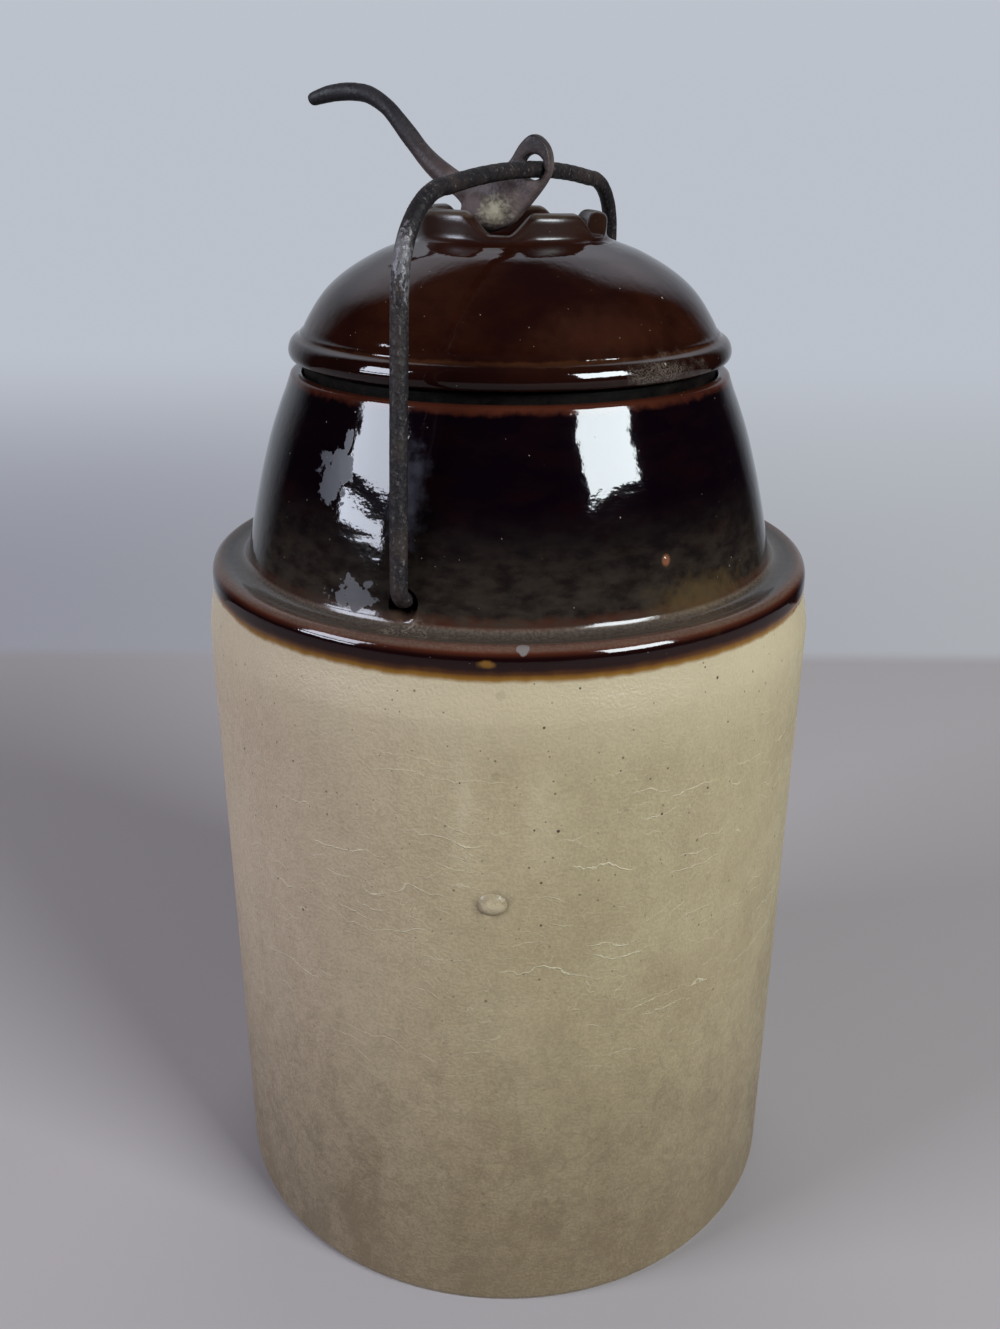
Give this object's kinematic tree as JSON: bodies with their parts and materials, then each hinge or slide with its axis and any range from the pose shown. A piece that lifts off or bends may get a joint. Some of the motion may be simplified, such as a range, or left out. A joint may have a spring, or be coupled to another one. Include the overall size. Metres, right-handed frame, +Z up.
{
  "type": "stoneware canning jar",
  "caption": "Two-tone glazed stoneware jar with a domed lid, held shut by a swinging wire bail and a cast cam lever that bears in the lid's notched collar.",
  "frame": {"origin": "centre of the flat base that the jar stands on", "axes": "+Z up the jar's axis. The bail's hinge runs along Y through the dome's two holes. The closed lever's handle points towards -X."},
  "size_m": [0.114, 0.114, 0.2145],
  "materials": {
    "buff_and_brown_glaze": "glossy buff glaze below, near-black brown glaze on the shoulder dome",
    "brown_glaze": "glossy dark red-brown glaze",
    "rubber": "matt dark grey",
    "oxidised_steel": "dark, granular and oxidised",
    "cast_iron": "rough cast, worn on the nose"
  },
  "bodies": {
    "jar": {"jar_body": "buff_and_brown_glaze", "sealing_ring": "rubber"},
    "lid": {"lid": "brown_glaze"},
    "bail": {"wire_bail": "oxidised_steel"},
    "lever": {"cam_lever": "cast_iron"}
  },
  "joints": [
    {"name": "lid_lift", "type": "slide", "parent": "jar", "child": "lid", "axis": [0, 0, 1], "range_m": [0, 0.0015]},
    {"name": "bail_swing", "type": "hinge", "parent": "jar", "child": "bail", "pos_m": [0, 0, 0.138], "axis": [0, 1, 0], "range_deg": [0, 5]},
    {"name": "lever_turn", "type": "hinge", "parent": "bail", "child": "lever", "pos_m": [0.00332, 0.004, 0.20026], "axis": [0.0924, 0.9957, 0], "range_deg": [-4, 160]}
  ]
}
